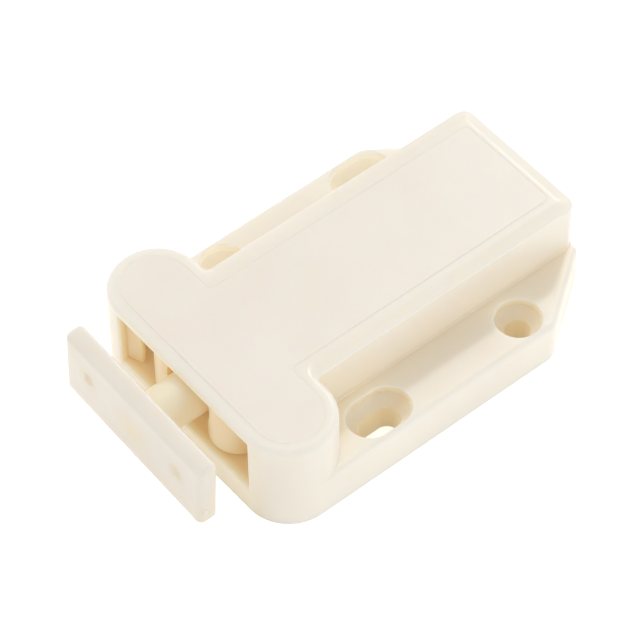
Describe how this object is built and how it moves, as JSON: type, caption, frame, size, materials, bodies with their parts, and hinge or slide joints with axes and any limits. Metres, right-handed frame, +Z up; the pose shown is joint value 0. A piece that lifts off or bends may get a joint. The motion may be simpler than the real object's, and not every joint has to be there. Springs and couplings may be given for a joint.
{
  "type": "door catch",
  "caption": "Push-to-open door catch: flanged moulded body with a sprung plunger and two jaws that hold or release a door-mounted strike.",
  "frame": {"origin": "middle of the flat mounting face under the housing, halfway between its front and back edges", "axes": "+Z away from the mounting face, -Y out of the mouth towards the door, +X to the right when looking along +Y, into the mouth, with +Z up"},
  "size_m": [0.0418, 0.0693, 0.0176],
  "materials": {
    "housing_plastic": "moulded, satin gloss, cream",
    "cover_plastic": "moulded, satin gloss, cream",
    "jaw_plastic": "moulded, satin gloss, warm cream",
    "plunger_plastic": "moulded, satin, warm cream",
    "stem_plastic": "moulded, satin gloss, off-white",
    "strike_nylon": "moulded, satin gloss, near white",
    "pin_steel": "ground, bright",
    "wire_steel": "drawn wire, bright",
    "leaf_steel": "rolled strip, bright",
    "spring_steel": "drawn spring wire"
  },
  "bodies": {
    "housing": {"housing": "housing_plastic", "cover_plate": "cover_plastic", "jaw_pin_left": "pin_steel", "jaw_pin_right": "pin_steel", "spring_guide": "pin_steel", "main_spring": "spring_steel", "jaw_spring_left": "spring_steel", "jaw_spring_right": "spring_steel", "follower_leaf": "leaf_steel"},
    "plunger": {"plunger": "plunger_plastic"},
    "jaw_left": {"jaw_left": "jaw_plastic"},
    "jaw_right": {"jaw_right": "jaw_plastic"},
    "cam_follower": {"cam_follower": "wire_steel"},
    "strike_stem": {"strike_stem": "stem_plastic"},
    "strike_plate": {"strike_plate": "strike_nylon"}
  },
  "joints": [
    {"name": "plunger_slide", "type": "slide", "parent": "housing", "child": "plunger", "axis": [0, -1, 0], "range_m": [-0.0015, 0.009], "deforming": ["main_spring"]},
    {"name": "jaw_right_turn", "type": "hinge", "parent": "housing", "child": "jaw_right", "pos_m": [0.0052, -0.0183, 0], "axis": [0, 0, 1], "range_deg": [-4.7, 28.05], "deforming": ["jaw_spring_right"]},
    {"name": "jaw_left_turn", "type": "hinge", "parent": "housing", "child": "jaw_left", "pos_m": [-0.0052, -0.0183, 0], "axis": [0, 0, 1], "range_deg": [-28.05, 4.7], "deforming": ["jaw_spring_left"]},
    {"name": "follower_turn", "type": "hinge", "parent": "housing", "child": "cam_follower", "pos_m": [0.005, 0.0199, 0], "axis": [0, 0, 1], "range_deg": [-0.9, 5.05]},
    {"name": "strike_slide", "type": "slide", "parent": "housing", "child": "strike_stem", "axis": [0, -1, 0], "range_m": [-0.0015, 0.009]},
    {"name": "strike_plate_turn", "type": "hinge", "parent": "strike_stem", "child": "strike_plate", "pos_m": [0, -0.0387, 0.0108], "axis": [0, 1, 0], "range_deg": [-18, 12]}
  ],
  "couplings": [
    {"joint": "jaw_right_turn", "follows": "plunger_slide", "rad_per_m": 54.299},
    {"joint": "jaw_left_turn", "follows": "plunger_slide", "rad_per_m": -54.299},
    {"joint": "follower_turn", "follows": "plunger_slide", "rad_per_m": 9.6963},
    {"joint": "strike_slide", "follows": "plunger_slide", "ratio": 1}
  ]
}
